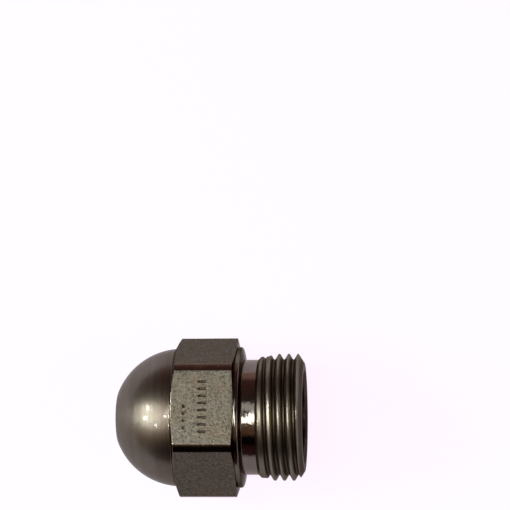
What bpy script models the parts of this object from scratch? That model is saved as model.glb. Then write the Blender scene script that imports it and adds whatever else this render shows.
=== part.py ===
"""Pressure nozzle of an oil burner, lying on one flat of its hexagon.

The spray axis is X: the domed spray end points to -X and the threaded inlet end to +X.
The origin is on the axis, halfway along the nozzle, and +Z is up.
Inside the body, from the spray end to the inlet, are the orifice disc, the distributor
and the lock screw, which turns in a real thread and holds the other two on their seats.
"""

import math

import bmesh
import bpy
from mathutils import Matrix, Vector

MM = 0.001
INCH = 0.0254

# Driving dimensions. "AT" values are distances from the spray tip along the axis.
LENGTH = 20.9 * MM
HEX_ACROSS_FLATS = 5 / 8 * INCH
HEX_CORNER_RADIUS = 8.91 * MM
DOME_RADIUS = 7.70 * MM
TIP_FACE_RADIUS = 2.9 * MM
TIP_EDGE = 0.15 * MM

HEX_FRONT_AT = 6.60 * MM
HEX_FRONT_RADIUS = 7.50 * MM
HEX_CORNERS_AT = (7.03 * MM, 13.36 * MM)
HEX_REAR_AT = 13.50 * MM
HEX_REAR_RADIUS = 8.02 * MM

COLLAR_GROOVE_RADIUS = 7.62 * MM
COLLAR_AT = 13.58 * MM
COLLAR_RADIUS = 7.86 * MM
COLLAR_ROUND = 0.35 * MM
COLLAR_FACE_ANGLE = math.radians(13)
NECK_AT = 14.28 * MM
NECK_RADIUS = 6.42 * MM
NECK_FILLET = 0.20 * MM

# Male thread 9/16-24 UNEF.
THREAD_PITCH = INCH / 24
THREAD_CREST_RADIUS = 7.07 * MM
THREAD_ROOT_RADIUS = 6.44 * MM
THREAD_BLANK_AT = 15.78 * MM
THREAD_FULL_AT = 17.4 * MM
THREAD_GROOVE_AT = 16.50 * MM
THREAD_RUN_IN_ANGLES = (math.radians(-70), math.radians(110))
THREAD_ROOT_FLAT = 0.15 * THREAD_PITCH
END_CHAMFER = 0.65 * MM
END_FACE_RADIUS = 6.05 * MM

# Inside of the body.
EXIT_RADII = (2.05 * MM, 1.40 * MM)
DISC_SEAT_AT = 1.30 * MM
BORE_RADIUS = 3.45 * MM
BORE_END_AT = 8.30 * MM
RELIEF_RADIUS = 4.12 * MM
RELIEF_END_AT = 8.90 * MM
INLET_RADIUS = 5.00 * MM
INLET_AT = 15.60 * MM
INLET_CHAMFER = 0.30 * MM

# Lock screw thread 5/16-32 UNEF, in the body and on the screw.
LOCK_PITCH = INCH / 32
LOCK_NUT_MINOR_RADIUS = 3.54 * MM
LOCK_NUT_MAJOR_RADIUS = 4.03 * MM
LOCK_MAJOR_RADIUS = 3.93 * MM
LOCK_MINOR_RADIUS = 3.43 * MM
LOCK_NUT_ROOT_FLAT = 0.14 * LOCK_PITCH
LOCK_ROOT_FLAT = 0.16 * LOCK_PITCH

SEAT_GAP = 0.06 * MM
SLIDING_GAP = 0.10 * MM

DISC_THICKNESS = 2.20 * MM
INNER_EDGE = 0.15 * MM
ORIFICE_RADIUS = 0.62 * MM
ORIFICE_LENGTH = 0.30 * MM
EXIT_CONE_DEPTH = 0.30 * MM
CHAMBER_RADIUS = 1.05 * MM
CHAMBER_AT = 0.94 * MM

NOSE_GAP = 0.07 * MM
NOSE_FLAT_RADIUS = 1.24 * MM
NOSE_BASE_RADIUS = 2.62 * MM
DISTRIBUTOR_LENGTH = 4.90 * MM
CENTRE_HOLE_RADIUS = 0.30 * MM
SWIRL_SLOTS = 4
SWIRL_SLOT = (2.80 * MM, 0.50 * MM, 0.80 * MM)
SWIRL_BESIDE_AXIS = 0.80 * MM
FLUTES = 4
FLUTE_WIDTH = 1.30 * MM
FLUTE_DEPTH = 0.65 * MM

PILOT_LENGTH = 1.00 * MM
PILOT_RADIUS = 3.28 * MM
SCREW_LENGTH = 5.00 * MM
SCREW_BORE_RADIUS = 1.40 * MM
SCREW_EDGE = 0.20 * MM
DRIVER_SLOT = (1.20 * MM, 1.30 * MM)
FEED_SLOT = (1.20 * MM, 0.80 * MM)

# Sides of the turned surfaces.
OUTER_SIDES = 48
HEX_BLANK_SIDES = 60
INNER_SIDES = 24

# How far cutters reach past the surface they cut.
OVERSHOOT = 1.0 * MM
GROOVE_OVERSHOOT = 0.05 * MM
NUT_GROOVE_OVERSHOOT = 0.08 * MM
RUN_OUT_TURNS = 0.6
WELD = 1e-7
THREAD_FLANK = math.tan(math.radians(30))

DOME_CENTRE_AT = math.sqrt(DOME_RADIUS**2 - TIP_FACE_RADIUS**2)
DISC_AT = DISC_SEAT_AT + SEAT_GAP
DISC_CONE_AT = DISC_AT + CHAMBER_AT
NOSE_AT = DISC_CONE_AT + NOSE_FLAT_RADIUS + NOSE_GAP - CHAMBER_RADIUS
DISTRIBUTOR_END_AT = NOSE_AT + DISTRIBUTOR_LENGTH
SCREW_AT = DISTRIBUTOR_END_AT + SEAT_GAP


def along(distance):
    """The X coordinate at a distance from the spray tip."""
    return distance - LENGTH / 2


def remove_old_objects():
    for old in list(bpy.data.objects):
        bpy.data.objects.remove(old, do_unlink=True)


def make_material(name, colour, roughness, metallic):
    material = bpy.data.materials.new(name)
    material.use_nodes = True
    shader = material.node_tree.nodes["Principled BSDF"]
    shader.inputs["Base Color"].default_value = (*colour, 1.0)
    shader.inputs["Roughness"].default_value = roughness
    shader.inputs["Metallic"].default_value = metallic
    return material


def make_object(name, bm, origin=(0.0, 0.0, 0.0)):
    """A scene object from a bmesh in world space, with its own origin."""
    bmesh.ops.recalc_face_normals(bm, faces=bm.faces)
    bmesh.ops.translate(bm, verts=bm.verts, vec=-Vector(origin))
    mesh = bpy.data.meshes.new(name)
    bm.to_mesh(mesh)
    bm.free()
    made = bpy.data.objects.new(name, mesh)
    made.location = origin
    bpy.context.collection.objects.link(made)
    return made


def turned_bmesh(outline, sides, closed):
    """Spin an outline of (distance from the tip, radius) points about the X axis."""
    bm = bmesh.new()
    points = [bm.verts.new((along(at), radius, 0.0)) for at, radius in outline]
    pairs = list(zip(points, points[1:]))
    if closed:
        pairs.append((points[-1], points[0]))
    edges = [bm.edges.new(pair) for pair in pairs]
    bmesh.ops.spin(
        bm,
        geom=points + edges,
        cent=(0.0, 0.0, 0.0),
        axis=(1.0, 0.0, 0.0),
        angle=2 * math.pi,
        steps=sides,
        use_merge=True,
    )
    bmesh.ops.remove_doubles(bm, verts=bm.verts, dist=WELD)
    return bm


def turned_ring(name, outline, sides, origin):
    """A turned solid with a hole through it, from an outline that closes on itself."""
    return make_object(name, turned_bmesh(outline, sides, closed=True), origin)


def turned_with_flat_ends(name, outline, sides):
    """A turned blank whose outline starts and ends off the axis, closed by one face at each end."""
    bm = turned_bmesh(outline, sides, closed=False)
    rims = [edge for edge in bm.edges if edge.is_boundary]
    bmesh.ops.holes_fill(bm, edges=rims, sides=0)
    return make_object(name, bm)


def helical_groove(name, groove_at, pitch, angles, section_at, sides):
    """A closed helical bar that cuts a right-hand thread groove.

    section_at(angle) gives the groove's (offset along X, radius) corners at an angle, which is
    counted about +X from the +Y side, where the groove's centre is groove_at from the tip.
    The bar's rings lie halfway between the edges of a turned surface with as many sides.
    """
    side = 2 * math.pi / sides
    first, last = (math.ceil(angle / side) for angle in angles)
    bm = bmesh.new()
    rings = []
    for step in range(first, last + 1):
        angle = (step + 0.5) * side
        centre = along(groove_at) + pitch * angle / (2 * math.pi)
        corners = section_at(angle)
        rings.append([
            bm.verts.new((centre + offset, radius * math.cos(angle), radius * math.sin(angle)))
            for offset, radius in corners
        ])
    count = len(rings[0])
    for ring, following in zip(rings, rings[1:]):
        for i in range(count):
            j = (i + 1) % count
            bm.faces.new((ring[i], ring[j], following[j], following[i]))
    bm.faces.new(rings[0])
    bm.faces.new(reversed(rings[-1]))
    return as_cutter(make_object(name, bm))


def vee_section(bottom, mouth, flat):
    """The corners of a 60 degree groove from its flat bottom radius to its mouth radius."""
    half_flat = flat / 2
    half_mouth = half_flat + abs(mouth - bottom) * THREAD_FLANK
    return [(-half_mouth, mouth), (-half_flat, bottom), (half_flat, bottom), (half_mouth, mouth)]


def as_cutter(cutter):
    cutter.hide_render = True
    cutter.display_type = "WIRE"
    return cutter


def combine(target, other, operation):
    modifier = target.modifiers.new(f"{operation.lower()} {other.name}", "BOOLEAN")
    modifier.operation = operation
    modifier.object = other
    modifier.solver = "EXACT"
    as_cutter(other)


def box_cutter(name, size, matrix):
    """A box of the given size, placed by a matrix."""
    bm = bmesh.new()
    bmesh.ops.create_cube(bm, size=1.0)
    bmesh.ops.scale(bm, verts=bm.verts, vec=size)
    bmesh.ops.transform(bm, verts=bm.verts, matrix=matrix)
    return as_cutter(make_object(name, bm))


def finish(made, material):
    made.data.materials.append(material)
    made.data.shade_smooth()
    made.data.set_sharp_from_angle(angle=math.radians(25))


def arc(centre_at, radius, start, end, steps):
    """Points of an arc about a centre on the axis, by angle from the -X direction."""
    points = []
    for step in range(steps + 1):
        angle = start + (end - start) * step / steps
        points.append((centre_at - radius * math.cos(angle), radius * math.sin(angle)))
    return points


def collar_outline():
    """The washer collar: a rounded edge, then a face that slopes back to the neck."""
    points = []
    round_steps = 3
    for step in range(round_steps + 1):
        angle = (math.pi / 2 - COLLAR_FACE_ANGLE) * step / round_steps
        at = COLLAR_AT + COLLAR_ROUND * math.sin(angle)
        radius = COLLAR_RADIUS - COLLAR_ROUND * (1 - math.cos(angle))
        points.append((at, radius))
    face_start_at, face_start_radius = points[-1]
    face_end_radius = NECK_RADIUS + NECK_FILLET
    face_end_at = face_start_at + (face_start_radius - face_end_radius) * math.tan(COLLAR_FACE_ANGLE)
    return [*points, (face_end_at, face_end_radius), (NECK_AT, NECK_RADIUS)]


def body_outline():
    """The bar-turned outside of the body, hexagon left out."""
    tip_angle = math.asin(TIP_FACE_RADIUS / DOME_RADIUS)
    dome = arc(DOME_CENTRE_AT, DOME_RADIUS, tip_angle, math.pi / 2, 11)
    run_in_radius = (THREAD_CREST_RADIUS + THREAD_ROOT_RADIUS) / 2
    return [
        (0.0, TIP_FACE_RADIUS - TIP_EDGE),
        *dome,
        (HEX_FRONT_AT + OVERSHOOT, COLLAR_GROOVE_RADIUS),
        (COLLAR_AT, COLLAR_GROOVE_RADIUS),
        *collar_outline(),
        (THREAD_BLANK_AT, NECK_RADIUS),
        (THREAD_BLANK_AT + run_in_radius - NECK_RADIUS, run_in_radius),
        (THREAD_FULL_AT, THREAD_CREST_RADIUS),
        (LENGTH - END_CHAMFER, THREAD_CREST_RADIUS),
        (LENGTH, END_FACE_RADIUS),
    ]


def hexagon():
    """The wrench hexagon, with its corners and both ends turned."""
    front_corner_at, rear_corner_at = HEX_CORNERS_AT
    blank = turned_with_flat_ends(
        "hex_turning",
        [
            (HEX_FRONT_AT, HEX_FRONT_RADIUS),
            (front_corner_at, HEX_CORNER_RADIUS),
            (rear_corner_at, HEX_CORNER_RADIUS),
            (HEX_REAR_AT, HEX_REAR_RADIUS),
        ],
        HEX_BLANK_SIDES,
    )
    bm = bmesh.new()
    bmesh.ops.create_circle(
        bm,
        cap_ends=True,
        segments=6,
        radius=HEX_ACROSS_FLATS / math.sqrt(3),
        matrix=Matrix.Rotation(math.pi / 2, 4, "Y"),
    )
    grown = bmesh.ops.extrude_face_region(bm, geom=bm.faces[:])
    far_end = [item for item in grown["geom"] if isinstance(item, bmesh.types.BMVert)]
    bmesh.ops.translate(bm, verts=far_end, vec=(LENGTH, 0.0, 0.0))
    bmesh.ops.translate(bm, verts=bm.verts, vec=(-LENGTH / 2, 0.0, 0.0))
    bar = make_object("hex_bar", bm)
    combine(bar, blank, "INTERSECT")
    return as_cutter(bar)


def body_bore():
    """The inside of the body, from the exit cone in the tip to the inlet mouth."""
    exit_front, exit_rear = EXIT_RADII
    exit_slope = (exit_front - exit_rear) / DISC_SEAT_AT
    return as_cutter(turned_with_flat_ends(
        "body_bore",
        [
            (-OVERSHOOT, exit_front + exit_slope * OVERSHOOT),
            (DISC_SEAT_AT, exit_rear),
            (DISC_SEAT_AT, BORE_RADIUS),
            (BORE_END_AT, BORE_RADIUS),
            (BORE_END_AT, RELIEF_RADIUS),
            (RELIEF_END_AT, RELIEF_RADIUS),
            (RELIEF_END_AT + RELIEF_RADIUS - LOCK_NUT_MINOR_RADIUS, LOCK_NUT_MINOR_RADIUS),
            (INLET_AT, LOCK_NUT_MINOR_RADIUS),
            (INLET_AT, INLET_RADIUS),
            (LENGTH - INLET_CHAMFER, INLET_RADIUS),
            (LENGTH + OVERSHOOT, INLET_RADIUS + INLET_CHAMFER + OVERSHOOT),
        ],
        INNER_SIDES,
    ))


def male_thread_groove():
    """The groove of the male thread, which runs in from nothing behind the neck."""
    run_in_start, run_in_end = THREAD_RUN_IN_ANGLES
    shallow = THREAD_CREST_RADIUS + GROOVE_OVERSHOOT
    mouth = shallow + GROOVE_OVERSHOOT

    def section_at(angle):
        share = min(1.0, max(0.0, (angle - run_in_start) / (run_in_end - run_in_start)))
        bottom = shallow + (THREAD_ROOT_RADIUS - shallow) * share
        return vee_section(bottom, mouth, THREAD_ROOT_FLAT)

    turns = (LENGTH - THREAD_GROOVE_AT) / THREAD_PITCH + RUN_OUT_TURNS
    return helical_groove(
        "male_thread_groove",
        THREAD_GROOVE_AT,
        THREAD_PITCH,
        (run_in_start, turns * 2 * math.pi),
        section_at,
        OUTER_SIDES,
    )


def lock_nut_groove():
    """The groove of the thread in the bore, from its relief to the inlet."""
    mouth = LOCK_NUT_MINOR_RADIUS - NUT_GROOVE_OVERSHOOT
    section = vee_section(LOCK_NUT_MAJOR_RADIUS, mouth, LOCK_NUT_ROOT_FLAT)
    groove_at = BORE_END_AT + LOCK_PITCH / 2
    turns = (INLET_AT - groove_at) / LOCK_PITCH + RUN_OUT_TURNS
    return helical_groove(
        "lock_nut_groove",
        groove_at,
        LOCK_PITCH,
        (0.0, turns * 2 * math.pi),
        lambda angle: section,
        INNER_SIDES,
    )


def make_nozzle_body(material):
    body = turned_with_flat_ends("nozzle_body", body_outline(), OUTER_SIDES)
    combine(body, hexagon(), "UNION")
    combine(body, male_thread_groove(), "DIFFERENCE")
    combine(body, body_bore(), "DIFFERENCE")
    combine(body, lock_nut_groove(), "DIFFERENCE")
    finish(body, material)


def make_orifice_disc(material):
    """The disc that the oil leaves through, with its whirl chamber and 45 degree seat."""
    end_at = DISC_AT + DISC_THICKNESS
    radius = BORE_RADIUS - SLIDING_GAP
    seat_end_radius = CHAMBER_RADIUS + end_at - DISC_CONE_AT
    disc = turned_ring(
        "orifice_disc",
        [
            (DISC_AT, ORIFICE_RADIUS + EXIT_CONE_DEPTH),
            (DISC_AT, radius - INNER_EDGE),
            (DISC_AT + INNER_EDGE, radius),
            (end_at - INNER_EDGE, radius),
            (end_at, radius - INNER_EDGE),
            (end_at, seat_end_radius),
            (DISC_CONE_AT, CHAMBER_RADIUS),
            (DISC_AT + EXIT_CONE_DEPTH + ORIFICE_LENGTH, ORIFICE_RADIUS),
            (DISC_AT + EXIT_CONE_DEPTH, ORIFICE_RADIUS),
        ],
        INNER_SIDES,
        origin=(along(DISC_AT), 0.0, 0.0),
    )
    finish(disc, material)


def swirl_slot(index):
    """One slot milled along the distributor's cone, beside its centre, so that the oil spins."""
    middle_radius = (NOSE_FLAT_RADIUS + NOSE_BASE_RADIUS) / 2
    middle_at = NOSE_AT + middle_radius - NOSE_FLAT_RADIUS
    turn = Matrix.Rotation(2 * math.pi * index / SWIRL_SLOTS, 4, "X")
    place = Matrix.Translation((along(middle_at), SWIRL_BESIDE_AXIS, middle_radius))
    slope = Matrix.Rotation(math.radians(-45), 4, "Y")
    return box_cutter(f"swirl_slot_{index}", SWIRL_SLOT, turn @ place @ slope)


def flute(index):
    """One flute along the distributor's side, between the swirl slots."""
    turn = Matrix.Rotation(2 * math.pi * (index + 0.5) / FLUTES, 4, "X")
    centre_radius = BORE_RADIUS - SLIDING_GAP + FLUTE_DEPTH
    place = Matrix.Translation((along(DISTRIBUTOR_END_AT), 0.0, centre_radius))
    size = (2 * DISTRIBUTOR_LENGTH, FLUTE_WIDTH, 4 * FLUTE_DEPTH)
    return box_cutter(f"flute_{index}", size, turn @ place)


def make_distributor(material):
    """The slug that splits the oil into tangential jets, with a small hole through its middle."""
    radius = BORE_RADIUS - SLIDING_GAP
    base_at = NOSE_AT + NOSE_BASE_RADIUS - NOSE_FLAT_RADIUS
    distributor = turned_ring(
        "distributor",
        [
            (NOSE_AT, CENTRE_HOLE_RADIUS),
            (NOSE_AT, NOSE_FLAT_RADIUS),
            (base_at, NOSE_BASE_RADIUS),
            (base_at, radius - INNER_EDGE),
            (base_at + INNER_EDGE, radius),
            (DISTRIBUTOR_END_AT - INNER_EDGE, radius),
            (DISTRIBUTOR_END_AT, radius - INNER_EDGE),
            (DISTRIBUTOR_END_AT, CENTRE_HOLE_RADIUS),
        ],
        INNER_SIDES,
        origin=(along(NOSE_AT), 0.0, 0.0),
    )
    for index in range(SWIRL_SLOTS):
        combine(distributor, swirl_slot(index), "DIFFERENCE")
    for index in range(FLUTES):
        combine(distributor, flute(index), "DIFFERENCE")
    finish(distributor, material)


def lock_screw_groove():
    """The groove of the screw's own thread, centred between the grooves of the thread in the bore."""
    mouth = LOCK_MAJOR_RADIUS + GROOVE_OVERSHOOT
    section = vee_section(LOCK_MINOR_RADIUS, mouth, LOCK_ROOT_FLAT)
    turns = (SCREW_AT + SCREW_LENGTH - BORE_END_AT) / LOCK_PITCH + RUN_OUT_TURNS
    return helical_groove(
        "lock_screw_groove",
        BORE_END_AT,
        LOCK_PITCH,
        (-math.pi, turns * 2 * math.pi),
        lambda angle: section,
        INNER_SIDES,
    )


def make_lock_screw(material):
    """The hollow screw that holds the distributor and the disc on their seats."""
    end_at = SCREW_AT + SCREW_LENGTH
    thread_at = SCREW_AT + PILOT_LENGTH
    screw = turned_ring(
        "lock_screw",
        [
            (SCREW_AT, SCREW_BORE_RADIUS),
            (SCREW_AT, PILOT_RADIUS - SCREW_EDGE),
            (SCREW_AT + SCREW_EDGE, PILOT_RADIUS),
            (thread_at - SCREW_EDGE, PILOT_RADIUS),
            (thread_at - SCREW_EDGE + LOCK_MAJOR_RADIUS - PILOT_RADIUS, LOCK_MAJOR_RADIUS),
            (end_at - SCREW_EDGE, LOCK_MAJOR_RADIUS),
            (end_at, LOCK_MAJOR_RADIUS - SCREW_EDGE),
            (end_at, SCREW_BORE_RADIUS),
        ],
        INNER_SIDES,
        origin=(along(SCREW_AT), 0.0, 0.0),
    )
    combine(screw, lock_screw_groove(), "DIFFERENCE")
    across = 4 * LOCK_MAJOR_RADIUS
    slot_width, slot_depth = DRIVER_SLOT
    driver_slot = box_cutter(
        "driver_slot",
        (2 * slot_depth, across, slot_width),
        Matrix.Translation((along(end_at), 0.0, 0.0)),
    )
    combine(screw, driver_slot, "DIFFERENCE")
    feed_width, feed_depth = FEED_SLOT
    for index in range(2):
        feed_slot = box_cutter(
            f"feed_slot_{index}",
            (2 * feed_depth, across, feed_width),
            Matrix.Translation((along(SCREW_AT), 0.0, 0.0)) @ Matrix.Rotation(math.pi / 2 * index, 4, "X"),
        )
        combine(screw, feed_slot, "DIFFERENCE")
    finish(screw, material)


def build():
    remove_old_objects()
    make_nozzle_body(make_material("dark_steel", (0.16, 0.14, 0.12), 0.35, 1.0))
    make_orifice_disc(make_material("hard_steel", (0.42, 0.41, 0.39), 0.22, 1.0))
    make_distributor(make_material("bright_steel", (0.50, 0.48, 0.45), 0.30, 1.0))
    make_lock_screw(make_material("brass", (0.70, 0.50, 0.22), 0.32, 1.0))


build()
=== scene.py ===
import math

import bmesh
import bpy
import numpy as np
from mathutils import Matrix, Vector


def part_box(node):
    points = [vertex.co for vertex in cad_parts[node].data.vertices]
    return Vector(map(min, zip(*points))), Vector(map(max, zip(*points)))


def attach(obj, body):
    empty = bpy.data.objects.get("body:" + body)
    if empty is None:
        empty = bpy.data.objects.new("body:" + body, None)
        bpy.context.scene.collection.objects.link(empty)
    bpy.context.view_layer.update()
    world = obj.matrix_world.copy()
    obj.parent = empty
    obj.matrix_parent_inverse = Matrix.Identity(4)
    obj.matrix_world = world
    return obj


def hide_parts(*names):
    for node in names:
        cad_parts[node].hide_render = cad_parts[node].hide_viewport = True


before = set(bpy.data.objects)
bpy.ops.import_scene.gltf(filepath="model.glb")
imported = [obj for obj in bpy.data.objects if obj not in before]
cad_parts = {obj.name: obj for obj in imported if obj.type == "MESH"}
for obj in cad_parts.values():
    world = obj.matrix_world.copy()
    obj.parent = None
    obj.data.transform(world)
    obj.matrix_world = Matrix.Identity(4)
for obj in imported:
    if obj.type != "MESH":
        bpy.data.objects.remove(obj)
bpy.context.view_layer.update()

MM = 0.001
INCH = 0.0254

TIP_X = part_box("nozzle_body")[0].x
REAR_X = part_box("nozzle_body")[1].x
LENGTH = REAR_X - TIP_X
HALF_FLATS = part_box("nozzle_body")[1].z
CORNER_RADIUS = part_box("nozzle_body")[1].y
FLOOR_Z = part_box("nozzle_body")[0].z

# Body outline: names ending in _AT are distances from the tip along the axis.
DOME_RADIUS = 7.70 * MM
DOME_STEPS = 48
TIP_FACE_RADIUS = 2.9 * MM
TIP_OPENING_RADIUS = 2.05 * MM
SEAT_OPENING_RADIUS = 1.40 * MM
DOME_CENTRE_AT = math.sqrt(DOME_RADIUS**2 - TIP_FACE_RADIUS**2)
JUNCTION_AT = 6.66 * MM
JUNCTION_FILLET = 0.09 * MM
JUNCTION_RADIUS = math.sqrt(DOME_RADIUS**2 - (DOME_CENTRE_AT - JUNCTION_AT) ** 2)
FRONT_CORNER_AT = 7.03 * MM
REAR_CORNER_AT = 13.36 * MM
HEX_REAR_AT = 13.50 * MM
HEX_REAR_RADIUS = 8.02 * MM
BROKEN_EDGE = 0.10 * MM
REAR_EDGE = 0.05 * MM
REAR_EDGE_DROP = 0.008 * MM
GROOVE_RADIUS = 7.62 * MM
COLLAR_AT = 13.58 * MM
COLLAR_RADIUS = 7.86 * MM
COLLAR_ROUND = 0.35 * MM
COLLAR_SETBACK = 0.25 * MM
COLLAR_FACE_ANGLE = math.radians(13)
NECK_AT = 14.28 * MM
NECK_RADIUS = 6.42 * MM

# Roundings, as the length that each takes off both sides of its corner.
FINE_ROUND = 0.05 * MM
SOFT_ROUND = 0.12 * MM
OPENING_ROUND = 0.08 * MM
GROOVE_ROUND = 0.015 * MM
MOUTH_ROUND = 0.04 * MM
CHAMFER_ROUND = 0.06 * MM
COUNTERBORE_ROUND = 0.10 * MM

# Male thread. A flat is the width of a groove's bottom, as a share of the pitch.
PITCH = INCH / 24
CREST_RADIUS = 7.07 * MM
ROOT_RADIUS = 6.44 * MM
ROOT_FLAT = 0.15
THREAD_AT = 15.78 * MM
THREAD_STEP = 0.335 * MM
FIRST_CREST_AT = 16.95 * MM
FIRST_CREST_RADIUS = 6.79 * MM
FULL_CREST_AT = 17.55 * MM
THREAD_GROOVE_AT = 16.50 * MM
END_CHAMFER = 0.65 * MM
END_FACE_RADIUS = 6.05 * MM

# The male groove deepens between these two angles along its helix.
RUN_IN = (math.radians(-130), math.radians(50))

# Inside: the stepped bore, the lock screw's thread in it and the screw's own thread.
BORE_RADIUS = 3.45 * MM
DISC_SEAT_AT = 1.30 * MM
BORE_END_AT = 8.30 * MM
RELIEF_RADIUS = 4.12 * MM
RELIEF_END_AT = 8.90 * MM
INLET_AT = 15.60 * MM
INLET_RADIUS = 5.00 * MM
INLET_CHAMFER = 0.30 * MM
LOCK_PITCH = INCH / 32
NUT_MINOR = 3.54 * MM
NUT_MAJOR = 4.03 * MM
NUT_ROOT_FLAT = 0.14
SCREW_MAJOR = 3.93 * MM
SCREW_MINOR = 3.43 * MM
SCREW_ROOT_FLAT = 0.16
LOCK_BLEND = 0.02 * MM

# Rise of a thread's flank over its run along the axis.
FLANK = 1 / math.tan(math.radians(30))

# Points closer than WELD are joined, and edges sharper than SHARP_ANGLE aren't smoothed.
WELD = 0.004 * MM
SHARP_ANGLE = math.radians(28)


def soft_min(a, b, blend):
    """The lesser of a and b, rounded where they meet."""
    return (a + b - np.sqrt((a - b) ** 2 + blend**2)) / 2


def soft_max(a, b, blend):
    """The greater of a and b, rounded where they meet."""
    return -soft_min(-a, -b, blend)


def eased(points):
    """Round the corners of an outline of (distance, radius, setback) points."""
    eased_points = [points[0][:2]]
    for before, corner, after in zip(points, points[1:], points[2:]):
        here = np.array(corner[:2])
        setback = corner[2]
        if setback == 0:
            eased_points.append(tuple(here))
            continue
        back = np.array(before[:2]) - here
        forth = np.array(after[:2]) - here
        start = here + back / np.linalg.norm(back) * setback
        end = here + forth / np.linalg.norm(forth) * setback
        for share in (0.0, 0.25, 0.5, 0.75, 1.0):
            point = start * (1 - share) ** 2 + here * 2 * share * (1 - share) + end * share**2
            eased_points.append(tuple(point))
    eased_points.append(points[-1][:2])
    return eased_points


class Lathe:
    """A surface made of rings about the X axis, all with the same columns."""

    def __init__(self, angles):
        self.angles = np.asarray(angles)
        self.vertices = []
        self.faces = []
        self.slots = []

    def add_points(self, at, radius):
        count = len(self.angles)
        at = np.broadcast_to(at, count)
        radius = np.broadcast_to(radius, count)
        first = len(self.vertices)
        y = radius * np.cos(self.angles)
        z = radius * np.sin(self.angles)
        self.vertices += list(zip(TIP_X + at, y, z))
        return np.arange(first, first + count)

    def strip(self, ring, following, slot):
        """Faces between two rings. slot is one number, or one for each column."""
        count = len(self.angles)
        slots = np.broadcast_to(slot, count)
        for j in range(count):
            k = (j + 1) % count
            self.faces.append((ring[j], following[j], following[k], ring[k]))
            self.slots.append(int(slots[j]))

    def rings(self, outline, slot):
        """Rings along an outline of (at, radius), each a number or one value for each column."""
        added = [self.add_points(at, radius) for at, radius in outline]
        for ring, following in zip(added, added[1:]):
            self.strip(ring, following, slot)

    def thread(self, start, end, pitch, phases, radius_at, slot):
        """Rings that follow a helix between two distances from the tip, cut square at both.

        phases are the rings' places in one pitch, from 0 to 1, and radius_at(at, angle)
        is the surface.
        """
        per_pitch = len(phases)
        turns = math.ceil((end - start) / pitch) + 2
        added = []
        for k in range(turns * per_pitch + 1):
            turn, phase = divmod(k, per_pitch)
            first_at = start + (turn - 1.5 + phases[phase]) * pitch
            at = np.clip(first_at + pitch * self.angles / (2 * math.pi), start, end)
            added.append(self.add_points(at, radius_at(at, self.angles)))
        last = len(self.angles) - 1
        for k in range(len(added) - 1):
            for j in range(last):
                a, b = added[k], added[k + 1]
                self.faces.append((a[j], b[j], b[j + 1], a[j + 1]))
                self.slots.append(slot)
        for k in range(len(added) - 1 - per_pitch):
            a, b = added[k], added[k + 1]
            c, d = added[k + per_pitch], added[k + 1 + per_pitch]
            self.faces.append((a[last], b[last], d[0], c[0]))
            self.slots.append(slot)

    def to_object(self, name, materials):
        mesh = bpy.data.meshes.new(name)
        mesh.from_pydata(self.vertices, [], self.faces)
        mesh.polygons.foreach_set("material_index", self.slots)
        for material in materials:
            mesh.materials.append(material)
        bm = bmesh.new()
        bm.from_mesh(mesh)
        bmesh.ops.remove_doubles(bm, verts=bm.verts, dist=WELD)
        bmesh.ops.dissolve_degenerate(bm, edges=bm.edges, dist=WELD / 10)
        bmesh.ops.recalc_face_normals(bm, faces=bm.faces)
        bm.to_mesh(mesh)
        bm.free()
        made = bpy.data.objects.new(name, mesh)
        bpy.context.scene.collection.objects.link(made)
        return made


def take_over(made, node):
    """Finish a fine mesh and put it in the place of its CAD node."""
    made.data.shade_smooth()
    made.data.set_sharp_from_angle(angle=SHARP_ANGLE)
    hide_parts(node)
    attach(made, node)


def cut(made, cutter_bm, material):
    """Take a bmesh's volume out of an object, and show the cut faces in a material."""
    mesh = bpy.data.meshes.new("cutter")
    bmesh.ops.recalc_face_normals(cutter_bm, faces=cutter_bm.faces)
    cutter_bm.to_mesh(mesh)
    cutter_bm.free()
    mesh.materials.append(material)
    cutter = bpy.data.objects.new("cutter", mesh)
    bpy.context.scene.collection.objects.link(cutter)
    modifier = made.modifiers.new("cut", "BOOLEAN")
    modifier.operation = "DIFFERENCE"
    modifier.solver = "EXACT"
    modifier.material_mode = "TRANSFER"
    modifier.object = cutter
    depsgraph = bpy.context.evaluated_depsgraph_get()
    result = bpy.data.meshes.new_from_object(made.evaluated_get(depsgraph), depsgraph=depsgraph)
    made.modifiers.clear()
    made.data = result
    bpy.data.objects.remove(cutter)


def add_box(bm, size, matrix):
    bmesh.ops.create_cube(bm, size=1.0, matrix=matrix @ Matrix.Diagonal((*size, 1.0)))


def add_capsule(bm, centre, length, radius):
    """A round-ended bar along X, or a ball if its length is 0."""
    upright = Matrix.Rotation(math.pi / 2, 4, "Y")
    grown = bmesh.ops.create_uvsphere(
        bm, u_segments=16, v_segments=9, radius=radius, matrix=upright
    )["verts"]
    for vertex in grown:
        vertex.co.x += math.copysign(length / 2, vertex.co.x)
    bmesh.ops.translate(bm, verts=grown, vec=centre)


# ---------------------------------------------------------------- body

# Material slots. POLISHED is on the neck and the hexagon's turned corners, and COLLAR on the
# collar and the hexagon's chamfers.
# COLLAR's steel is a darker copy of the neck's polished steel: painted shade.
FROST, TURNED, POLISHED, COLLAR, THREADED, BORED = range(6)

# Half of a flat's width as an angle about the axis.
EDGE_ANGLE = math.acos(HALF_FLATS / CORNER_RADIUS)
FLAT_EDGE_BLEND = 0.035 * MM


def body_columns():
    """Angles about the axis, closer together at the edges of the hexagon's flats."""
    near_edge = [math.degrees(EDGE_ANGLE) + offset for offset in (-1.4, -0.4, 0.0, 0.4, 1.4)]
    middle = list(np.linspace(-24, 24, 17))
    sector = [-30.0, *[-a for a in reversed(near_edge)], *middle, *near_edge]
    return np.radians([30 + 60 * k + a for k in range(6) for a in sector])


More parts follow.
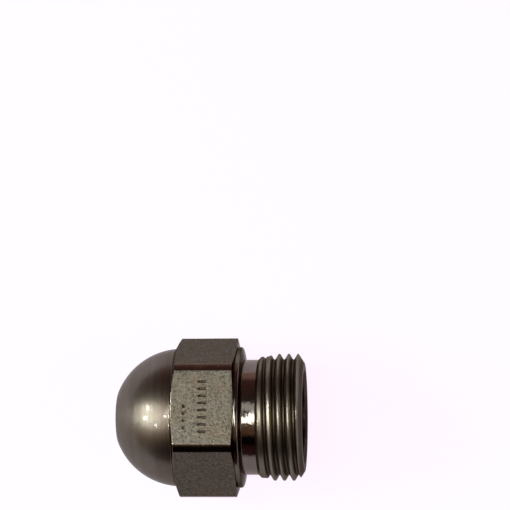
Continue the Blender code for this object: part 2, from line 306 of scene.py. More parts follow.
def from_flat_centre(angles):
    """Each angle, counted from the middle of the nearest flat of the hexagon."""
    sixth = math.pi / 3
    return (angles - math.radians(30) + sixth / 2) % sixth - sixth / 2


def vee(at, angle, groove_at, pitch, flat):
    """How far each point is outside a right-hand helical groove's flat bottom, along the axis."""
    turns = (at - groove_at) / pitch - angle / (2 * math.pi)
    return np.abs(turns - np.round(turns)) * pitch - flat / 2


def male_thread_radius(at, angle):
    blank = np.interp(
        at,
        [
            THREAD_AT,
            THREAD_AT + THREAD_STEP,
            FIRST_CREST_AT,
            FULL_CREST_AT,
            LENGTH - END_CHAMFER,
            LENGTH,
        ],
        [
            NECK_RADIUS,
            NECK_RADIUS + THREAD_STEP,
            FIRST_CREST_RADIUS,
            CREST_RADIUS,
            CREST_RADIUS,
            END_FACE_RADIUS,
        ],
    )
    turn = np.round((at - THREAD_GROOVE_AT) / PITCH - angle / (2 * math.pi))
    along_helix = angle + 2 * math.pi * turn
    depth_share = np.clip((along_helix - RUN_IN[0]) / (RUN_IN[1] - RUN_IN[0]), 0, 1)
    start_radius = CREST_RADIUS + 0.05 * MM
    bottom = start_radius + (ROOT_RADIUS - start_radius) * depth_share
    beyond = vee(at, angle, THREAD_GROOVE_AT, PITCH, ROOT_FLAT * PITCH)
    blend = 0.03 * MM
    groove = soft_max(bottom, bottom + beyond * FLANK, blend)
    return soft_min(blank, groove, blend)


def nut_thread_radius(at, angle):
    blank = np.interp(
        at,
        [RELIEF_END_AT, RELIEF_END_AT + RELIEF_RADIUS - NUT_MINOR, INLET_AT],
        [RELIEF_RADIUS, NUT_MINOR, NUT_MINOR],
    )
    beyond = vee(at, angle, BORE_END_AT + LOCK_PITCH / 2, LOCK_PITCH, NUT_ROOT_FLAT * LOCK_PITCH)
    groove = soft_min(NUT_MAJOR, NUT_MAJOR - beyond * FLANK, LOCK_BLEND)
    return soft_max(blank, groove, LOCK_BLEND)


def groove_phases(flat, depth, pitch):
    """Places of rings over one pitch, from 0 to 1, dense at a groove's corners."""
    bottom = flat / 2
    top = bottom + depth / FLANK / pitch
    corner = 0.022
    half = [bottom - corner, bottom, bottom + corner]
    half += list(np.linspace(bottom + corner, top - corner, 5)[1:-1])
    half += [top - corner, top, top + corner]
    return [0.0, *half, 0.5, *[1 - a for a in reversed(half)]]


def dome_outline():
    """The dome's points, from the edge of the tip face to the fillet in front of the hexagon."""
    start = math.asin(TIP_FACE_RADIUS / DOME_RADIUS)
    end = math.acos((DOME_CENTRE_AT - JUNCTION_AT + JUNCTION_FILLET) / DOME_RADIUS)
    outline = []
    for step in range(1, DOME_STEPS + 1):
        angle = start + (end - start) * step / DOME_STEPS
        outline.append((DOME_CENTRE_AT - DOME_RADIUS * math.cos(angle), DOME_RADIUS * math.sin(angle)))
    return outline


def add_hexagon(lathe, last_on_dome):
    """The hexagon: front chamfer, flats with turned corners, rear chamfer and end face."""
    turn = from_flat_centre(lathe.angles)
    hexagon = soft_min(HALF_FLATS / np.cos(turn), CORNER_RADIUS, FLAT_EDGE_BLEND)
    front_slope = (CORNER_RADIUS - JUNCTION_RADIUS) / (FRONT_CORNER_AT - JUNCTION_AT)
    rear_slope = (CORNER_RADIUS - HEX_REAR_RADIUS) / (HEX_REAR_AT - REAR_CORNER_AT)
    front_edge = JUNCTION_AT + (hexagon - JUNCTION_RADIUS) / front_slope
    rear_edge = np.minimum(REAR_CORNER_AT + (CORNER_RADIUS - hexagon) / rear_slope, HEX_REAR_AT)

    next_turn = np.roll(turn, -1)
    beside_next_flat = math.radians(29.5)
    middle_turn = np.where(next_turn > turn, (turn + next_turn) / 2, beside_next_flat)
    is_turned_corner = np.abs(middle_turn) > EDGE_ANGLE
    slots = np.where(is_turned_corner, POLISHED, FROST)

    step_radius = JUNCTION_FILLET / math.hypot(1.0, 1 / front_slope)
    chamfer = eased([
        (*last_on_dome, 0),
        (JUNCTION_AT, JUNCTION_RADIUS, JUNCTION_FILLET * 0.9),
        (JUNCTION_AT + step_radius / front_slope, JUNCTION_RADIUS + step_radius, 0),
    ])
    for share in (0.45, 0.8):
        at = JUNCTION_AT + (front_edge - JUNCTION_AT) * share
        chamfer.append((at, JUNCTION_RADIUS + (hexagon - JUNCTION_RADIUS) * share))
    slant = math.atan(front_slope)
    for share in (0.0, 0.2, 0.4, 0.6, 0.8, 1.0):
        before = BROKEN_EDGE * (1 - share) ** 2
        after = BROKEN_EDGE * share**2
        chamfer.append((front_edge - before * math.cos(slant) + after, hexagon - before * math.sin(slant)))
    lathe.rings(chamfer, COLLAR)

    flats = [(front_edge + BROKEN_EDGE, hexagon)]
    for share in np.linspace(0.04, 0.96, 12):
        flats.append((front_edge + (rear_edge - front_edge) * share, hexagon))
    flats.append((rear_edge - REAR_EDGE, hexagon))
    flats.append((rear_edge - REAR_EDGE * 0.12, hexagon - REAR_EDGE_DROP * 1.2))
    lathe.rings(flats, slots)

    end_radius = np.minimum(hexagon, HEX_REAR_RADIUS)
    rear = [flats[-1]]
    chamfered = np.clip((hexagon - HEX_REAR_RADIUS) / (CORNER_RADIUS - HEX_REAR_RADIUS), 0, 1)
    drop = REAR_EDGE_DROP * (1 - chamfered)
    for share in (0.08, 0.4, 0.75):
        at = rear_edge + (HEX_REAR_AT - rear_edge) * share
        rear.append((at, hexagon + (end_radius - hexagon) * share - drop))
    rear.append((HEX_REAR_AT, end_radius - 0.03 * MM))
    rear.append((HEX_REAR_AT, GROOVE_RADIUS + 0.02 * MM))
    lathe.rings(rear, COLLAR)
    return rear[-1]


DOTS = 4
DOTS_X = TIP_X + 8.2 * MM
DOTS_FROM_Y = 0.1 * MM
DOT_RADIUS = 0.22 * MM
BARS = 8
BARS_X = TIP_X + 10.2 * MM
BARS_FROM_Y = 2.8 * MM
BAR_RADIUS = 0.14 * MM
BAR_LENGTH = 0.75 * MM
MARK_SPACING = 0.78 * MM


def stamped_marks():
    """Plain stamped marks in the top flat: a row of dots and a row of short bars."""
    bm = bmesh.new()
    for number in range(DOTS):
        y = DOTS_FROM_Y - MARK_SPACING * number
        add_capsule(bm, (DOTS_X, y, HALF_FLATS + DOT_RADIUS / 2), 0.0, DOT_RADIUS)
    for number in range(BARS):
        y = BARS_FROM_Y - MARK_SPACING * number
        add_capsule(bm, (BARS_X, y, HALF_FLATS + BAR_RADIUS / 3), BAR_LENGTH, BAR_RADIUS)
    return bm


def make_body(materials):
    lathe = Lathe(body_columns())
    dome = dome_outline()
    tip_outline = eased([
        (DISC_SEAT_AT, BORE_RADIUS, 0),
        (DISC_SEAT_AT, SEAT_OPENING_RADIUS, FINE_ROUND),
        (0.0, TIP_OPENING_RADIUS, OPENING_ROUND),
        (0.0, TIP_FACE_RADIUS, SOFT_ROUND),
        dome[0],
    ])
    lathe.rings(tip_outline[:-1] + dome[1:], TURNED)
    last_at, last_radius = add_hexagon(lathe, dome[-1])

    face_length = (COLLAR_RADIUS - COLLAR_ROUND - NECK_RADIUS) * math.tan(COLLAR_FACE_ANGLE)
    collar = eased([
        (last_at, last_radius, 0),
        (HEX_REAR_AT, GROOVE_RADIUS, GROOVE_ROUND),
        (COLLAR_AT, GROOVE_RADIUS, GROOVE_ROUND),
        (COLLAR_AT, COLLAR_RADIUS, FINE_ROUND),
        (NECK_AT - face_length, COLLAR_RADIUS, COLLAR_SETBACK),
        (NECK_AT - 0.02 * MM, NECK_RADIUS, SOFT_ROUND),
        (THREAD_AT, NECK_RADIUS, 0),
    ])
    lathe.rings(collar[:-1], COLLAR)
    lathe.rings(collar[-2:], POLISHED)
    lathe.thread(
        THREAD_AT, LENGTH, PITCH,
        groove_phases(ROOT_FLAT, CREST_RADIUS - ROOT_RADIUS, PITCH),
        male_thread_radius, THREADED,
    )
    mouth = eased([
        (LENGTH, END_FACE_RADIUS, 0),
        (LENGTH, INLET_RADIUS + INLET_CHAMFER, MOUTH_ROUND),
        (LENGTH - INLET_CHAMFER, INLET_RADIUS, CHAMFER_ROUND),
        (INLET_AT, INLET_RADIUS, COUNTERBORE_ROUND),
        (INLET_AT, NUT_MAJOR + 0.15 * MM, 0),
    ])
    lathe.rings(mouth, BORED)
    inner_end = nut_thread_radius(np.full(len(lathe.angles), INLET_AT), lathe.angles)
    lathe.rings([mouth[-1], (INLET_AT, inner_end)], BORED)
    lathe.thread(
        RELIEF_END_AT, INLET_AT, LOCK_PITCH,
        groove_phases(NUT_ROOT_FLAT, NUT_MAJOR - NUT_MINOR, LOCK_PITCH),
        nut_thread_radius, BORED,
    )
    lathe.rings(
        [
            (RELIEF_END_AT, RELIEF_RADIUS),
            (BORE_END_AT, RELIEF_RADIUS),
            (BORE_END_AT, BORE_RADIUS),
            (DISC_SEAT_AT, BORE_RADIUS),
        ],
        BORED,
    )
    body = lathe.to_object("nozzle_body_fine", materials)
    # The marks' cut faces take the dark bore metal: painted shade in the stamps.
    cut(body, stamped_marks(), materials[BORED])
    take_over(body, "nozzle_body")


# ---------------------------------------------------------------- inner pieces

INNER_COLUMNS = np.linspace(0, 2 * math.pi, 96, endpoint=False)
INNER_RADIUS = BORE_RADIUS - 0.10 * MM
SEAT_GAP = 0.06 * MM
DISC_AT = DISC_SEAT_AT + SEAT_GAP
DISC_LENGTH = 2.20 * MM
DISC_END_AT = DISC_AT + DISC_LENGTH
ORIFICE_RADIUS = 0.62 * MM
ORIFICE_FLARE = 0.30 * MM
CHAMBER_AT = DISC_AT + 0.94 * MM
CHAMBER_RADIUS = 1.05 * MM
NOSE_FLAT_RADIUS = 1.24 * MM
NOSE_BASE_RADIUS = 2.62 * MM
NOSE_GAP = 0.07 * MM
NOSE_AT = CHAMBER_AT + NOSE_FLAT_RADIUS + NOSE_GAP - CHAMBER_RADIUS
SLUG_LENGTH = 4.90 * MM
SLUG_END_AT = NOSE_AT + SLUG_LENGTH
CENTRE_HOLE_RADIUS = 0.30 * MM
SCREW_AT = SLUG_END_AT + SEAT_GAP
SCREW_LENGTH = 5.00 * MM
SCREW_END_AT = SCREW_AT + SCREW_LENGTH
SCREW_THREAD_AT = SCREW_AT + 0.80 * MM
SCREW_BORE_RADIUS = 1.40 * MM
PILOT_RADIUS = 3.28 * MM
EDGE = 0.15 * MM
SCREW_EDGE = 0.20 * MM
ROUND_OFF = 0.04 * MM

# Slots, as the length, width and height of the box that cuts each.
SWIRL_SLOT = (2.80 * MM, 0.50 * MM, 0.80 * MM)
SWIRL_BESIDE_AXIS = 0.80 * MM
FLUTE_DEPTH = 0.65 * MM
FLUTE = (2 * SLUG_LENGTH, 1.30 * MM, 4 * FLUTE_DEPTH)
SLOT_WIDTH = 1.20 * MM
DRIVER_SLOT_DEPTH = 1.30 * MM
FEED_SLOT_DEPTH = 0.80 * MM


def turned_ring(name, outline, material):
    """A turned piece with a hole through it, with small rounds on its corners."""
    lathe = Lathe(INNER_COLUMNS)
    corners = [(at, radius, ROUND_OFF) for at, radius in outline[1:]]
    start = (*outline[0], 0)
    lathe.rings(eased([start, *corners, start]), 0)
    return lathe.to_object(name, [material])


def make_orifice_disc(material):
    disc = turned_ring(
        "orifice_disc_fine",
        [
            (DISC_AT + ORIFICE_FLARE, ORIFICE_RADIUS),
            (DISC_AT, ORIFICE_RADIUS + ORIFICE_FLARE),
            (DISC_AT, INNER_RADIUS - EDGE),
            (DISC_AT + EDGE, INNER_RADIUS),
            (DISC_END_AT - EDGE, INNER_RADIUS),
            (DISC_END_AT, INNER_RADIUS - EDGE),
            (DISC_END_AT, CHAMBER_RADIUS + DISC_END_AT - CHAMBER_AT),
            (CHAMBER_AT, CHAMBER_RADIUS),
            (DISC_AT + 2 * ORIFICE_FLARE, ORIFICE_RADIUS),
        ],
        material,
    )
    take_over(disc, "orifice_disc")


def make_distributor(material):
    """The slug, with four swirl slots in its cone and four flutes along its side."""
    base_at = NOSE_AT + NOSE_BASE_RADIUS - NOSE_FLAT_RADIUS
    slug = turned_ring(
        "distributor_fine",
        [
            (NOSE_AT, CENTRE_HOLE_RADIUS),
            (NOSE_AT, NOSE_FLAT_RADIUS),
            (base_at, NOSE_BASE_RADIUS),
            (base_at, INNER_RADIUS - EDGE),
            (base_at + EDGE, INNER_RADIUS),
            (SLUG_END_AT - EDGE, INNER_RADIUS),
            (SLUG_END_AT, INNER_RADIUS - EDGE),
            (SLUG_END_AT, CENTRE_HOLE_RADIUS),
        ],
        material,
    )
    bm = bmesh.new()
    middle_radius = (NOSE_FLAT_RADIUS + NOSE_BASE_RADIUS) / 2
    middle_x = TIP_X + NOSE_AT + middle_radius - NOSE_FLAT_RADIUS
    slope = Matrix.Rotation(math.radians(-45), 4, "Y")
    for index in range(4):
        turn = Matrix.Rotation(math.pi / 2 * index, 4, "X")
        place = Matrix.Translation((middle_x, SWIRL_BESIDE_AXIS, middle_radius))
        add_box(bm, SWIRL_SLOT, turn @ place @ slope)
        turn = Matrix.Rotation(math.pi / 2 * (index + 0.5), 4, "X")
        place = Matrix.Translation((TIP_X + SLUG_END_AT, 0.0, INNER_RADIUS + FLUTE_DEPTH))
        add_box(bm, FLUTE, turn @ place)
    cut(slug, bm, material)
    take_over(slug, "distributor")


def screw_thread_radius(at, angle):
    full_at = SCREW_THREAD_AT + SCREW_MAJOR - PILOT_RADIUS
    blank = np.interp(
        at,
        [SCREW_THREAD_AT, full_at, SCREW_END_AT - SCREW_EDGE, SCREW_END_AT],
        [PILOT_RADIUS, SCREW_MAJOR, SCREW_MAJOR, SCREW_MAJOR - SCREW_EDGE],
    )
    beyond = vee(at, angle, BORE_END_AT, LOCK_PITCH, SCREW_ROOT_FLAT * LOCK_PITCH)
    groove = soft_max(SCREW_MINOR, SCREW_MINOR + beyond * FLANK, LOCK_BLEND)
    return soft_min(blank, groove, LOCK_BLEND)


def make_lock_screw(material):
    """The hollow lock screw, with a driver slot behind and two crossed slots in front."""
    lathe = Lathe(INNER_COLUMNS)
    front = eased([
        (SCREW_END_AT, SCREW_BORE_RADIUS, 0),
        (SCREW_AT, SCREW_BORE_RADIUS, FINE_ROUND),
        (SCREW_AT, PILOT_RADIUS - SCREW_EDGE, ROUND_OFF),
        (SCREW_AT + SCREW_EDGE, PILOT_RADIUS, ROUND_OFF),
        (SCREW_THREAD_AT, PILOT_RADIUS, 0),
    ])
    lathe.rings(front[:-1], 0)
    start_radius = screw_thread_radius(np.full(len(INNER_COLUMNS), SCREW_THREAD_AT), INNER_COLUMNS)
    lathe.rings([front[-2], (SCREW_THREAD_AT, start_radius)], 0)
    lathe.thread(
        SCREW_THREAD_AT, SCREW_END_AT, LOCK_PITCH,
        groove_phases(SCREW_ROOT_FLAT, SCREW_MAJOR - SCREW_MINOR, LOCK_PITCH),
        screw_thread_radius, 0,
    )
    end_radius = screw_thread_radius(np.full(len(INNER_COLUMNS), SCREW_END_AT), INNER_COLUMNS)
    inside_thread = SCREW_MINOR - 0.10 * MM
    lathe.rings(
        [(SCREW_END_AT, end_radius), (SCREW_END_AT, inside_thread), (SCREW_END_AT, SCREW_BORE_RADIUS)], 0
    )
    screw = lathe.to_object("lock_screw_fine", [material])
    bm = bmesh.new()
    across = 4 * SCREW_MAJOR
    behind = Matrix.Translation((TIP_X + SCREW_END_AT, 0, 0))
    front_face = Matrix.Translation((TIP_X + SCREW_AT, 0, 0))
    add_box(bm, (2 * DRIVER_SLOT_DEPTH, across, SLOT_WIDTH), behind)
    add_box(bm, (2 * FEED_SLOT_DEPTH, across, SLOT_WIDTH), front_face)
    add_box(bm, (2 * FEED_SLOT_DEPTH, SLOT_WIDTH, across), front_face)
    cut(screw, bm, material)
    take_over(screw, "lock_screw")


# ---------------------------------------------------------------- materials

class Nodes:
    """Short ways to add and link the nodes of one material."""

    def __init__(self, tree):
        self.tree = tree

    def add(self, kind, inputs=None, **settings):
        node = self.tree.nodes.new("ShaderNode" + kind)
        for name, value in settings.items():
            setattr(node, name, value)
        for name, value in (inputs or {}).items():
            if isinstance(value, bpy.types.NodeSocket):
                self.tree.links.new(value, node.inputs[name])
            else:
                node.inputs[name].default_value = value
        return node

    def math(self, operation, *values):
        return self.add("Math", dict(enumerate(values)), operation=operation).outputs[0]

    def ramp(self, factor, stops):
        """A colour ramp from (position, colour) stops; one number stands for a grey."""
        node = self.add("ValToRGB", {0: factor})
        elements = node.color_ramp.elements
        while len(elements) < len(stops):
            elements.new(0.5)
        for element, (position, colour) in zip(elements, stops):
            element.position = position
            if isinstance(colour, (int, float)):
                colour = (colour, colour, colour)
            element.color = (*colour, 1.0)
        return node.outputs["Color"]

    def noise(self, vector, scale, detail=3.0, roughness=0.5):
        inputs = {"Vector": vector, "Scale": scale, "Detail": detail, "Roughness": roughness}
        return self.add("TexNoise", inputs).outputs["Fac"]

    def mix(self, factor, a, b):
        return self.add("Mix", {0: factor, 6: a, 7: b}, data_type="RGBA").outputs[2]

    def smooth_range(self, value, start, end, low, high):
        """Eased from low to high while the value goes from start to end."""
        inputs = {"Value": value, "From Min": start, "From Max": end, "To Min": low, "To Max": high}
        return self.add("MapRange", inputs, interpolation_type="SMOOTHSTEP").outputs[0]


def new_metal(name, edge_tint):
    """A metallic material with its nodes, its shader and its object coordinates."""
    material = bpy.data.materials.new(name)
    material.use_nodes = True
    nodes = Nodes(material.node_tree)
    shader = material.node_tree.nodes["Principled BSDF"]
    shader.inputs["Metallic"].default_value = 1.0
    shader.inputs["Specular Tint"].default_value = (*edge_tint, 1.0)
    place = nodes.add("TexCoord").outputs["Object"]
    return material, nodes, shader, place


def scaled(nodes, place, x, y, z):
    """The coordinates stretched differently along each axis."""
    return nodes.add("Mapping", {"Vector": place, "Scale": (x, y, z)}).outputs[0]


def connect(nodes, shader, **sources):
    for name, source in sources.items():
        nodes.tree.links.new(source, shader.inputs[name.replace("_", " ")])


def bump(nodes, height, depth, strength, below=None):
    inputs = {"Height": height, "Distance": depth, "Strength": strength}
    if below is not None:
        inputs["Normal"] = below
    return nodes.add("Bump", inputs).outputs[0]


def turned_steel():
    """Steel off the lathe: fine rings about the axis and random brown stains, with painted shade darkening
    it towards the hexagon.
    """
    material, nodes, shader, place = new_metal("turned_steel", (0.54, 0.51, 0.48))
    rings = nodes.noise(scaled(nodes, place, 1.0, 0.02, 0.02), 5200.0, 4.0, 0.7)
    bands = nodes.noise(scaled(nodes, place, 1.0, 0.05, 0.05), 1500.0, 2.0)
    stain = nodes.noise(place, 260.0, 4.0, 0.6)
    streaks = nodes.ramp(bands, [(0.30, (0.180, 0.162, 0.134)), (0.70, (0.225, 0.204, 0.170))])
    stained = nodes.mix(nodes.ramp(stain, [(0.52, 0.0), (0.74, 0.40)]), streaks, (0.155, 0.112, 0.080, 1.0))
    # Painted shade: the base colour darkens to a dark brown over the last 2 mm before the hexagon.
    along = nodes.add("SeparateXYZ", {0: place}).outputs["X"]
    hexagon_shade_mask = nodes.smooth_range(along, TIP_X + 4.4 * MM, TIP_X + 6.4 * MM, 0.0, 0.50)
    hexagon_shaded = nodes.mix(hexagon_shade_mask, stained, (0.110, 0.074, 0.056, 1.0))
    rough = nodes.ramp(rings, [(0.25, 0.32), (0.75, 0.43)])
    shader.inputs["Coat Weight"].default_value = 0.45
    shader.inputs["Coat Roughness"].default_value = 0.12
    shader.inputs["Anisotropic"].default_value = 0.45
    shader.inputs["Anisotropic Rotation"].default_value = 0.25
    tangent = nodes.add("Tangent", direction_type="RADIAL", axis="X").outputs[0]
    relief = bump(nodes, rings, 0.030 * MM, 0.9)
    connect(nodes, shader, Base_Color=hexagon_shaded, Roughness=rough, Normal=relief, Tangent=tangent)
    return material


def frosted_steel():
    """The milled and grit-blasted flats: a mottled grain with pits and faint rust."""
    material, nodes, shader, place = new_metal("frosted_steel", (0.55, 0.53, 0.50))
    grain = nodes.noise(place, 4200.0, 4.0, 0.7)
    fine = nodes.noise(place, 14000.0, 2.0, 0.5)
    pits = nodes.add("TexVoronoi", {"Vector": place, "Scale": 2100.0, "Randomness": 1.0})
    pit = nodes.ramp(pits.outputs["Distance"], [(0.06, 0.0), (0.24, 1.0)])
    patch = nodes.noise(place, 420.0, 4.0, 0.65)
    mottled = nodes.ramp(grain, [(0.34, (0.076, 0.071, 0.055)), (0.66, (0.233, 0.214, 0.176))])
    pitted = nodes.mix(pit, (0.120, 0.104, 0.080, 1.0), mottled)
    rusty = nodes.mix(nodes.ramp(patch, [(0.46, 0.0), (0.72, 0.50)]), pitted, (0.18, 0.125, 0.082, 1.0))
    rough = nodes.ramp(fine, [(0.3, 0.34), (0.7, 0.50)])
    relief = bump(nodes, grain, 0.045 * MM, 0.9, bump(nodes, pit, 0.035 * MM, 0.7))
    connect(nodes, shader, Base_Color=rusty, Roughness=rough, Normal=relief)
    return material


def polished_steel(name, light, dark, edge_tint, unevenness):
    """Bright-turned steel of the corners, the collar and the neck, a little uneven."""
    material, nodes, shader, place = new_metal(name, edge_tint)
    waves = nodes.noise(scaled(nodes, place, 1.0, 0.6, 0.6), 900.0, 3.0, 0.6)
    marks = nodes.noise(scaled(nodes, place, 1.0, 0.03, 0.03), 8000.0, 3.0, 0.6)
    stain = nodes.noise(place, 500.0, 4.0, 0.6)
    colour = nodes.ramp(stain, [(0.35, light), (0.70, dark)])
    rough = nodes.ramp(marks, [(0.3, 0.09), (0.7, 0.17)])
    relief = bump(nodes, marks, 0.004 * MM, 0.5, bump(nodes, waves, unevenness, 0.8))
    connect(nodes, shader, Base_Color=colour, Roughness=rough, Normal=relief)
    return material


def radius_share(nodes, place, inner, outer):
    """0 at the inner radius about the X axis and 1 at the outer radius."""
    across = nodes.add("VectorMath", {0: place, 1: (0.0, 1.0, 1.0)}, operation="MULTIPLY")
    length = nodes.add("VectorMath", {0: across.outputs[0]}, operation="LENGTH")
    inputs = {"Value": length.outputs["Value"], "From Min": inner, "From Max": outer}
    return nodes.add("MapRange", inputs).outputs[0]


def thread_steel():
    """The male thread: lighter on the crests and flanks and darker down in the roots, which is painted
    shade, mixed with random stains.
    """
    material, nodes, shader, place = new_metal("thread_steel", (0.48, 0.45, 0.41))
    # Painted shade: the colour darkens by radius from the crests down into the roots, with random stains
    # added.
    height = radius_share(nodes, place, ROOT_RADIUS, CREST_RADIUS)
    stain = nodes.noise(place, 1300.0, 4.0, 0.65)
    groove_shade_and_stain = nodes.math("ADD", height, nodes.math("MULTIPLY", stain, 0.4))
    colour = nodes.ramp(groove_shade_and_stain, [
        (0.30, (0.105, 0.086, 0.068)),
        (0.62, (0.215, 0.188, 0.152)),
        (1.0, (0.290, 0.264, 0.220)),
    ])
    marks = nodes.noise(scaled(nodes, place, 1.0, 0.05, 0.05), 6000.0, 3.0, 0.6)
    rough = nodes.ramp(marks, [(0.3, 0.29), (0.7, 0.41)])
    relief = bump(nodes, stain, 0.012 * MM, 0.35)
    connect(nodes, shader, Base_Color=colour, Roughness=rough, Normal=relief)
    return material


def shaded_bore_steel():
    """The drilled inside of the body, in a dark steel colour that is painted shade."""
    material, nodes, shader, place = new_metal("shaded_bore_steel", (0.5, 0.48, 0.45))
    marks = nodes.noise(scaled(nodes, place, 1.0, 0.05, 0.05), 5000.0, 3.0, 0.6)
    stain = nodes.noise(place, 700.0, 4.0, 0.6)
    # Painted shade: much darker than the outer steel, for the shade inside the bore, the inlet and the
    # stamped marks.
    colour = nodes.ramp(stain, [(0.3, (0.045, 0.033, 0.026)), (0.7, (0.110, 0.090, 0.072))])
    rough = nodes.ramp(marks, [(0.3, 0.24), (0.7, 0.38)])
    relief = bump(nodes, marks, 0.008 * MM, 0.5)
    connect(nodes, shader, Base_Color=colour, Roughness=rough, Normal=relief)
    return material


def inner_metal(name, dark, light, roughness):
    """A small turned piece's metal: lathe marks about the axis and a light stain."""
    material, nodes, shader, place = new_metal(name, (0.85, 0.83, 0.80))
    marks = nodes.noise(scaled(nodes, place, 1.0, 0.05, 0.05), 7000.0, 3.0, 0.6)
    stain = nodes.noise(place, 900.0, 4.0, 0.6)
    colour = nodes.ramp(stain, [(0.3, dark), (0.7, light)])
    rough = nodes.ramp(marks, [(0.3, roughness * 0.8), (0.7, roughness * 1.25)])
    relief = bump(nodes, marks, 0.005 * MM, 0.5)
    connect(nodes, shader, Base_Color=colour, Roughness=rough, Normal=relief)
    return material


# ---------------------------------------------------------------- stage

# The floor glows at SEEN_STRENGTH to the camera. In reflections its strength eases from the
# first of MIRRORED_STRENGTHS at -MIRRORED_FADE along Y to the second at +MIRRORED_FADE.
FLOOR_RADIUS = 1.2
FLOOR_GREY = 0.12
FLOOR_GLOW = (1.0, 0.905, 1.0, 1.0)
SEEN_STRENGTH = 0.97
MIRRORED_STRENGTHS = (0.42, 0.58)
MIRRORED_FADE = 0.03


def make_floor():
    """A pale round table top: bright to the camera and dimmer in reflections."""
    bm = bmesh.new()
    bmesh.ops.create_circle(bm, cap_ends=True, segments=128, radius=FLOOR_RADIUS)
    bmesh.ops.translate(bm, verts=bm.verts, vec=(0, 0, FLOOR_Z))
    mesh = bpy.data.meshes.new("floor")
    bm.to_mesh(mesh)
    bm.free()
    floor = bpy.data.objects.new("floor", mesh)
    bpy.context.scene.collection.objects.link(floor)
    material = bpy.data.materials.new("pale_floor")
    material.use_nodes = True
    nodes = Nodes(material.node_tree)
    shader = material.node_tree.nodes["Principled BSDF"]
    shader.inputs["Base Color"].default_value = (FLOOR_GREY, FLOOR_GREY, FLOOR_GREY, 1.0)
    shader.inputs["Roughness"].default_value = 0.9
    shader.inputs["Specular IOR Level"].default_value = 0.1
    shader.inputs["Emission Color"].default_value = FLOOR_GLOW
    place = nodes.add("TexCoord").outputs["Object"]
    across = nodes.add("SeparateXYZ", {0: place}).outputs["Y"]
    mirrored = nodes.smooth_range(across, -MIRRORED_FADE, MIRRORED_FADE, *MIRRORED_STRENGTHS)
    seen = nodes.add("LightPath").outputs["Is Camera Ray"]
    strength = nodes.add("Mix", {0: seen, 2: mirrored, 3: SEEN_STRENGTH}, data_type="FLOAT")
    connect(nodes, shader, Emission_Strength=strength.outputs[0])
    mesh.materials.append(material)


# Softboxes: name, place, size, radiance and colour. All face the origin.
SOFTBOXES = (
    ("overhead_bright", (-0.06, -0.058, 0.5), (0.28, 0.115), 6.7, (0.97, 1.0, 0.95)),
    ("overhead_dim", (-0.06, 0.058, 0.5), (0.28, 0.115), 1.0, (0.97, 1.0, 0.95)),
    ("tip_softbox", (-0.38, -0.025, 0.325), (0.26, 0.30), 2.2, (0.98, 1.0, 0.92)),
    ("inlet_softbox", (0.42, -0.10, 0.26), (0.26, 0.26), 1.3, (1.0, 0.98, 0.95)),
)

# Small square lamps beyond the spray end: direction from the nozzle, width and radiance.
LAMP_DISTANCE = 0.5
LAMP_COLOUR = (1.0, 0.99, 0.93)
TIP_LAMPS = (
    ((-0.782, 0.151, 0.605), 0.040, 75.0),
    ((-0.845, -0.086, 0.527), 0.040, 70.0),
    ((-0.604, -0.316, 0.732), 0.030, 75.0),
    ((-0.371, -0.090, 0.924), 0.030, 75.0),
)

# What the metal mirrors beyond the lamps, from the -Y side at 0 to the +Y side at 1.
DARK_STUDIO = (
    (0.02, (0.06, 0.02, 0.02)),
    (0.06, (0.002, 0.001, 0.002)),
    (0.13, (0.003, 0.002, 0.002)),
    (0.17, (0.20, 0.115, 0.065)),
    (0.36, (0.27, 0.155, 0.095)),
    (0.40, (0.07, 0.055, 0.05)),
    (0.75, (0.065, 0.040, 0.032)),
    (0.965, (0.12, 0.05, 0.045)),
    (0.995, (0.45, 0.28, 0.22)),
)
SEEN_BACKDROP = (1.0, 0.965, 1.0, 1.0)


def area_light(name, location, size, radiance, colour):
    """A rectangular lamp that faces the origin and looks equally bright from anywhere."""
    light = bpy.data.lights.new(name, "AREA")
    light.shape = "RECTANGLE"
    light.size, light.size_y = size
    light.energy = radiance * math.pi * size[0] * size[1]
    light.color = colour
    made = bpy.data.objects.new(name, light)
    made.location = location
    made.rotation_euler = (-Vector(location)).to_track_quat("-Z", "Y").to_euler()
    bpy.context.scene.collection.objects.link(made)


def make_lights():
    for name, location, size, radiance, colour in SOFTBOXES:
        area_light(name, location, size, radiance, colour)
    for number, (direction, width, radiance) in enumerate(TIP_LAMPS):
        location = Vector(direction).normalized() * LAMP_DISTANCE
        area_light(f"tip_lamp_{number}", location, (width, width), radiance, LAMP_COLOUR)


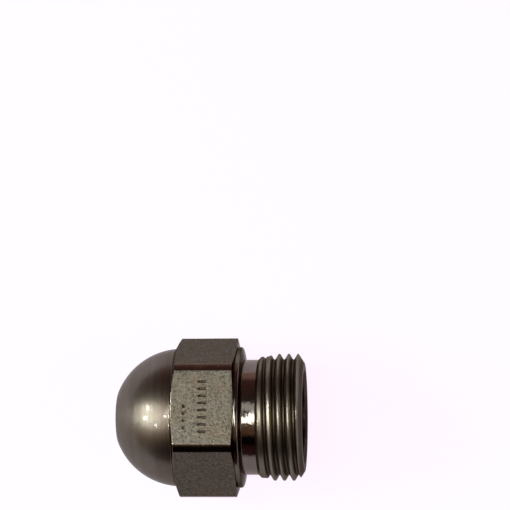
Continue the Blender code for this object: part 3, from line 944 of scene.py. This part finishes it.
def make_world():
    """A dark studio in reflections, which the camera itself sees as a pale backdrop."""
    world = bpy.data.worlds.new("dark_studio")
    world.use_nodes = True
    nodes = Nodes(world.node_tree)
    direction = nodes.add("TexCoord").outputs["Generated"]
    split = nodes.add("SeparateXYZ", {0: direction})
    across = nodes.math("MULTIPLY_ADD", split.outputs["Y"], 0.5, 0.5)
    seen = nodes.add("LightPath").outputs["Is Camera Ray"]
    colour = nodes.mix(seen, nodes.ramp(across, DARK_STUDIO), SEEN_BACKDROP)
    connect(nodes, world.node_tree.nodes["Background"], Color=colour)
    bpy.context.scene.world = world


# The photo's camera, in millimetres and radians: a little off from straight above the nozzle.
CAMERA_PLACE = (23.086, -30.321, 216.303)
CAMERA_TURN = (0.222359, 0.082816, 0.008517)
CAMERA_LENS = 137.81
SENSOR_WIDTH = 36.0


def make_camera():
    camera = bpy.data.cameras.new("camera")
    camera.sensor_width = SENSOR_WIDTH
    camera.lens = CAMERA_LENS
    made = bpy.data.objects.new("camera", camera)
    made.location = Vector(CAMERA_PLACE) * MM
    made.rotation_euler = CAMERA_TURN
    bpy.context.scene.collection.objects.link(made)
    bpy.context.scene.camera = made


# ---------------------------------------------------------------- scene

scene = bpy.context.scene
scene.view_settings.view_transform = "Standard"

neck_steel = polished_steel(
    "polished_neck",
    light=(0.245, 0.222, 0.204),
    dark=(0.185, 0.152, 0.130),
    edge_tint=(0.92, 0.84, 0.82),
    unevenness=0.05 * MM,
)
# A darker copy of the neck's polished steel for the collar and the hexagon's chamfers: painted shade.
shaded_collar_steel = polished_steel(
    "shaded_polished_collar",
    light=(0.215, 0.192, 0.165),
    dark=(0.150, 0.124, 0.100),
    edge_tint=(0.30, 0.28, 0.26),
    unevenness=0.02 * MM,
)
make_body([frosted_steel(), turned_steel(), neck_steel, shaded_collar_steel, thread_steel(), shaded_bore_steel()])
make_orifice_disc(inner_metal("hard_steel", (0.36, 0.35, 0.33), (0.50, 0.49, 0.47), 0.24))
make_distributor(inner_metal("slug_steel", (0.30, 0.28, 0.25), (0.44, 0.42, 0.39), 0.28))
make_lock_screw(inner_metal("brass", (0.45, 0.29, 0.11), (0.66, 0.46, 0.20), 0.28))
make_floor()
make_lights()
make_world()
make_camera()
